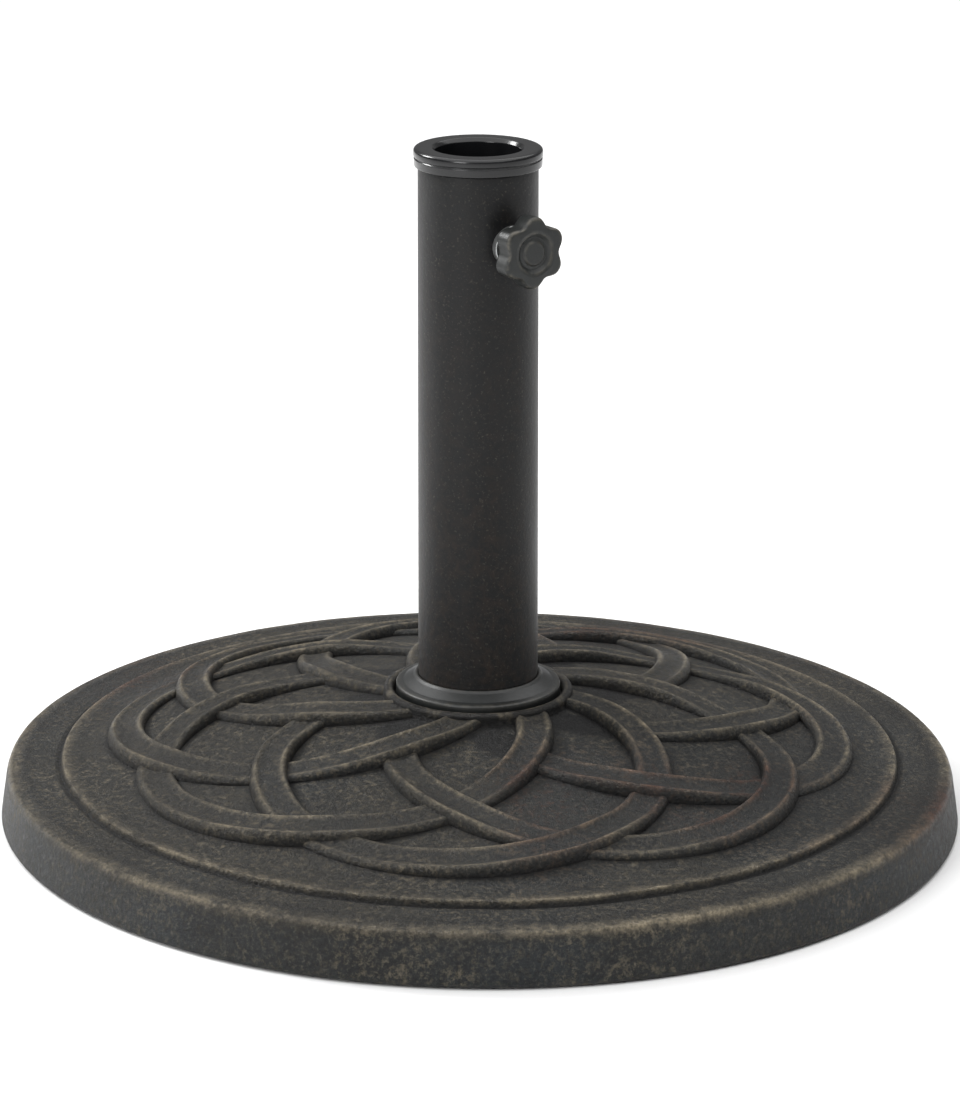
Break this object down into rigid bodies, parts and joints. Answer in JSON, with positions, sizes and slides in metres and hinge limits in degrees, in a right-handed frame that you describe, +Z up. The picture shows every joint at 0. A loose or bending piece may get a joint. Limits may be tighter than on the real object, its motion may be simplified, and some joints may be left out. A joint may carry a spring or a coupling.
{
  "type": "parasol base",
  "caption": "Round cast parasol base with interlaced relief, steel socket tube, plastic top collar and star-knob clamp screw.",
  "frame": {"origin": "on the ground under the tube's axis", "axes": "+Z up along the tube's axis, which is the slab's axis; -Y towards the side that the knob faces, with the knob turned 34 degrees from -Y towards +X"},
  "size_m": [0.457, 0.457, 0.323],
  "materials": {
    "cast_slab": "cast resin stone, grainy, dark bronze with rubbed edges",
    "coated_steel": "antique charcoal powder coat, softly mottled with brown",
    "collar_plastic": "glossy black moulding",
    "cover_plastic": "satin dark grey-green moulding",
    "knob_plastic": "satin dark grey moulding with rubbed edges",
    "pad_nylon": "natural nylon",
    "zinc_steel": "zinc plated",
    "foot_rubber": "matt black"
  },
  "bodies": {
    "base": {"base_slab": "cast_slab", "rubber_foot_1": "foot_rubber", "rubber_foot_2": "foot_rubber", "rubber_foot_3": "foot_rubber", "rubber_foot_4": "foot_rubber", "rubber_foot_5": "foot_rubber", "rubber_foot_6": "foot_rubber", "socket_tube": "coated_steel", "tube_foot_plate": "zinc_steel", "weld_nut": "zinc_steel", "fixing_bolt": "zinc_steel", "spring_washer": "zinc_steel", "flat_washer": "zinc_steel", "cover_ring": "cover_plastic", "top_collar": "collar_plastic", "threaded_insert": "zinc_steel"},
    "pad": {"pressure_pad": "pad_nylon"},
    "knob": {"star_knob": "knob_plastic", "clamp_screw": "zinc_steel"}
  },
  "joints": [
    {"name": "clamp_travel", "type": "slide", "parent": "base", "child": "pad", "axis": [0.5592, -0.829, 0], "range_m": [-0.0027, 0.007]},
    {"name": "knob_turn", "type": "hinge", "parent": "pad", "child": "knob", "pos_m": [0.02662, -0.03946, 0.2808], "axis": [0.5592, -0.829, 0], "range_deg": [-648, 1680]}
  ],
  "couplings": [
    {"joint": "clamp_travel", "follows": "knob_turn", "m_per_rad": 0.00023873}
  ]
}
